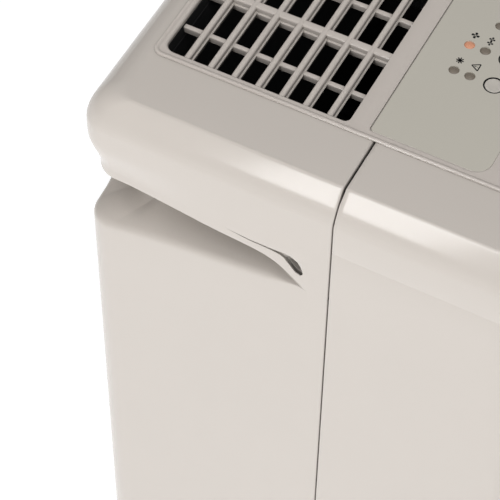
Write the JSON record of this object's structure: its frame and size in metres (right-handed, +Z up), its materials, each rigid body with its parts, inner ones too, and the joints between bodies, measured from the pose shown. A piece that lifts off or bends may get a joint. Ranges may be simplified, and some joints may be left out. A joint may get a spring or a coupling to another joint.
{
  "type": "dehumidifier",
  "caption": "Free-standing compressor dehumidifier: two-shell cabinet with side finger recesses, top outlet grille and key panel, rear intake, slide-out water tank, castors.",
  "frame": {"origin": "centre of the footprint of the whole unit at floor level, where the castor wheels touch", "axes": "+X across the unit to the user's right, +Y from the front to the back, +Z up"},
  "size_m": [0.323, 0.274, 0.57],
  "materials": {
    "shell": "satin moulded, warm off-white",
    "plate": "satin moulded, warm off-white",
    "overlay": "satin printed film, greenish grey",
    "key": "satin",
    "lens": "smoked, translucent",
    "dark_plastic": "moulded, black",
    "board": "solder mask",
    "steel": "zinc plated",
    "black_enamel": "black stove enamel",
    "aluminium": "mill finish",
    "copper": "drawn copper tube",
    "rubber": "moulded",
    "tank": "semi-gloss moulded",
    "clear": "clear moulded acrylic",
    "filter_mesh": "nylon net in a moulded frame",
    "nylon": "moulded"
  },
  "bodies": {
    "cabinet": {"rear_housing": "shell", "front_housing": "shell", "top_plate": "plate", "control_overlay": "overlay", "light_guide": "lens", "fan_scroll": "dark_plastic", "scroll_cover": "dark_plastic", "outlet_duct": "dark_plastic", "compressor_terminal_cover": "dark_plastic", "base_pan": "dark_plastic", "drip_tray": "dark_plastic", "partition": "dark_plastic", "humidity_sensor": "dark_plastic", "tank_switch": "dark_plastic", "control_board": "board", "fan_motor": "steel", "housing_screw_1": "steel", "housing_screw_2": "steel", "housing_screw_3": "steel", "housing_screw_4": "steel", "compressor": "black_enamel", "accumulator": "black_enamel", "evaporator_coil": "aluminium", "condenser_coil": "aluminium", "run_capacitor": "aluminium", "accumulator_pipe": "copper", "suction_pipe": "copper", "discharge_pipe": "copper", "liquid_pipe": "copper", "capillary_tube": "copper", "filter_drier": "copper", "compressor_grommet_1": "rubber", "compressor_grommet_2": "rubber", "compressor_grommet_3": "rubber", "cord_gland": "rubber"},
    "key_mode": {"key_mode": "key"},
    "key_fan": {"key_fan": "key"},
    "key_power": {"key_power": "key"},
    "key_timer": {"key_timer": "key"},
    "key_humidity": {"key_humidity": "key"},
    "key_tank": {"key_tank": "key"},
    "fan": {"fan_impeller": "dark_plastic", "motor_shaft": "steel"},
    "intake": {"intake_grille": "shell", "air_filter": "filter_mesh"},
    "tank": {"water_tank": "tank", "tank_lid": "tank", "tank_window": "clear"},
    "float": {"tank_float": "nylon"},
    "plunger": {"switch_plunger": "nylon"},
    "drain_cap": {"drain_plug": "nylon"},
    "castor_front_left": {"castor_fork_front_left": "nylon"},
    "wheel_front_left": {"castor_wheel_front_left": "rubber"},
    "castor_front_right": {"castor_fork_front_right": "nylon"},
    "wheel_front_right": {"castor_wheel_front_right": "rubber"},
    "castor_rear_left": {"castor_fork_rear_left": "nylon"},
    "wheel_rear_left": {"castor_wheel_rear_left": "rubber"},
    "castor_rear_right": {"castor_fork_rear_right": "nylon"},
    "wheel_rear_right": {"castor_wheel_rear_right": "rubber"}
  },
  "joints": [
    {"name": "key_mode_press", "type": "slide", "parent": "cabinet", "child": "key_mode", "axis": [0, 0, -1], "range_m": [0, 0.001], "stiffness_N_per_m": 300, "springref_m": -0.001},
    {"name": "key_fan_press", "type": "slide", "parent": "cabinet", "child": "key_fan", "axis": [0, 0, -1], "range_m": [0, 0.001], "stiffness_N_per_m": 300, "springref_m": -0.001},
    {"name": "key_power_press", "type": "slide", "parent": "cabinet", "child": "key_power", "axis": [0, 0, -1], "range_m": [0, 0.001], "stiffness_N_per_m": 300, "springref_m": -0.001},
    {"name": "key_timer_press", "type": "slide", "parent": "cabinet", "child": "key_timer", "axis": [0, 0, -1], "range_m": [0, 0.001], "stiffness_N_per_m": 300, "springref_m": -0.001},
    {"name": "key_humidity_press", "type": "slide", "parent": "cabinet", "child": "key_humidity", "axis": [0, 0, -1], "range_m": [0, 0.001], "stiffness_N_per_m": 300, "springref_m": -0.001},
    {"name": "key_tank_press", "type": "slide", "parent": "cabinet", "child": "key_tank", "axis": [0, 0, -1], "range_m": [0, 0.001], "stiffness_N_per_m": 300, "springref_m": -0.001},
    {"name": "fan_spin", "type": "hinge", "parent": "cabinet", "child": "fan", "pos_m": [-0.038, 0.0125, 0.364], "axis": [0, 1, 0], "continuous": true},
    {"name": "intake_hinge", "type": "hinge", "parent": "cabinet", "child": "intake", "pos_m": [0, 0.133, 0.2572], "axis": [-1, 0, 0], "range_deg": [0, 75]},
    {"name": "tank_slide", "type": "slide", "parent": "cabinet", "child": "tank", "axis": [0, -1, 0], "range_m": [0, 0.125]},
    {"name": "float_hinge", "type": "hinge", "parent": "tank", "child": "float", "pos_m": [0.06, -0.039, 0.2023], "axis": [-1, 0, 0], "range_deg": [0, 14]},
    {"name": "plunger_press", "type": "slide", "parent": "cabinet", "child": "plunger", "axis": [0, 1, 0], "range_m": [0, 0.0015], "stiffness_N_per_m": 200, "springref_m": -0.001},
    {"name": "drain_plug_pull", "type": "slide", "parent": "cabinet", "child": "drain_cap", "axis": [0, 1, 0], "range_m": [0, 0.014]},
    {"name": "castor_swivel_front_left", "type": "hinge", "parent": "cabinet", "child": "castor_front_left", "pos_m": [-0.1235, -0.099, 0.032], "axis": [0, 0, 1], "continuous": true},
    {"name": "castor_roll_front_left", "type": "hinge", "parent": "castor_front_left", "child": "wheel_front_left", "pos_m": [-0.1235, -0.09, 0.013], "axis": [1, 0, 0], "continuous": true},
    {"name": "castor_swivel_front_right", "type": "hinge", "parent": "cabinet", "child": "castor_front_right", "pos_m": [0.1235, -0.099, 0.032], "axis": [0, 0, 1], "continuous": true},
    {"name": "castor_roll_front_right", "type": "hinge", "parent": "castor_front_right", "child": "wheel_front_right", "pos_m": [0.1235, -0.09, 0.013], "axis": [1, 0, 0], "continuous": true},
    {"name": "castor_swivel_rear_left", "type": "hinge", "parent": "cabinet", "child": "castor_rear_left", "pos_m": [-0.1235, 0.099, 0.032], "axis": [0, 0, 1], "continuous": true},
    {"name": "castor_roll_rear_left", "type": "hinge", "parent": "castor_rear_left", "child": "wheel_rear_left", "pos_m": [-0.1235, 0.108, 0.013], "axis": [1, 0, 0], "continuous": true},
    {"name": "castor_swivel_rear_right", "type": "hinge", "parent": "cabinet", "child": "castor_rear_right", "pos_m": [0.1235, 0.099, 0.032], "axis": [0, 0, 1], "continuous": true},
    {"name": "castor_roll_rear_right", "type": "hinge", "parent": "castor_rear_right", "child": "wheel_rear_right", "pos_m": [0.1235, 0.108, 0.013], "axis": [1, 0, 0], "continuous": true}
  ]
}
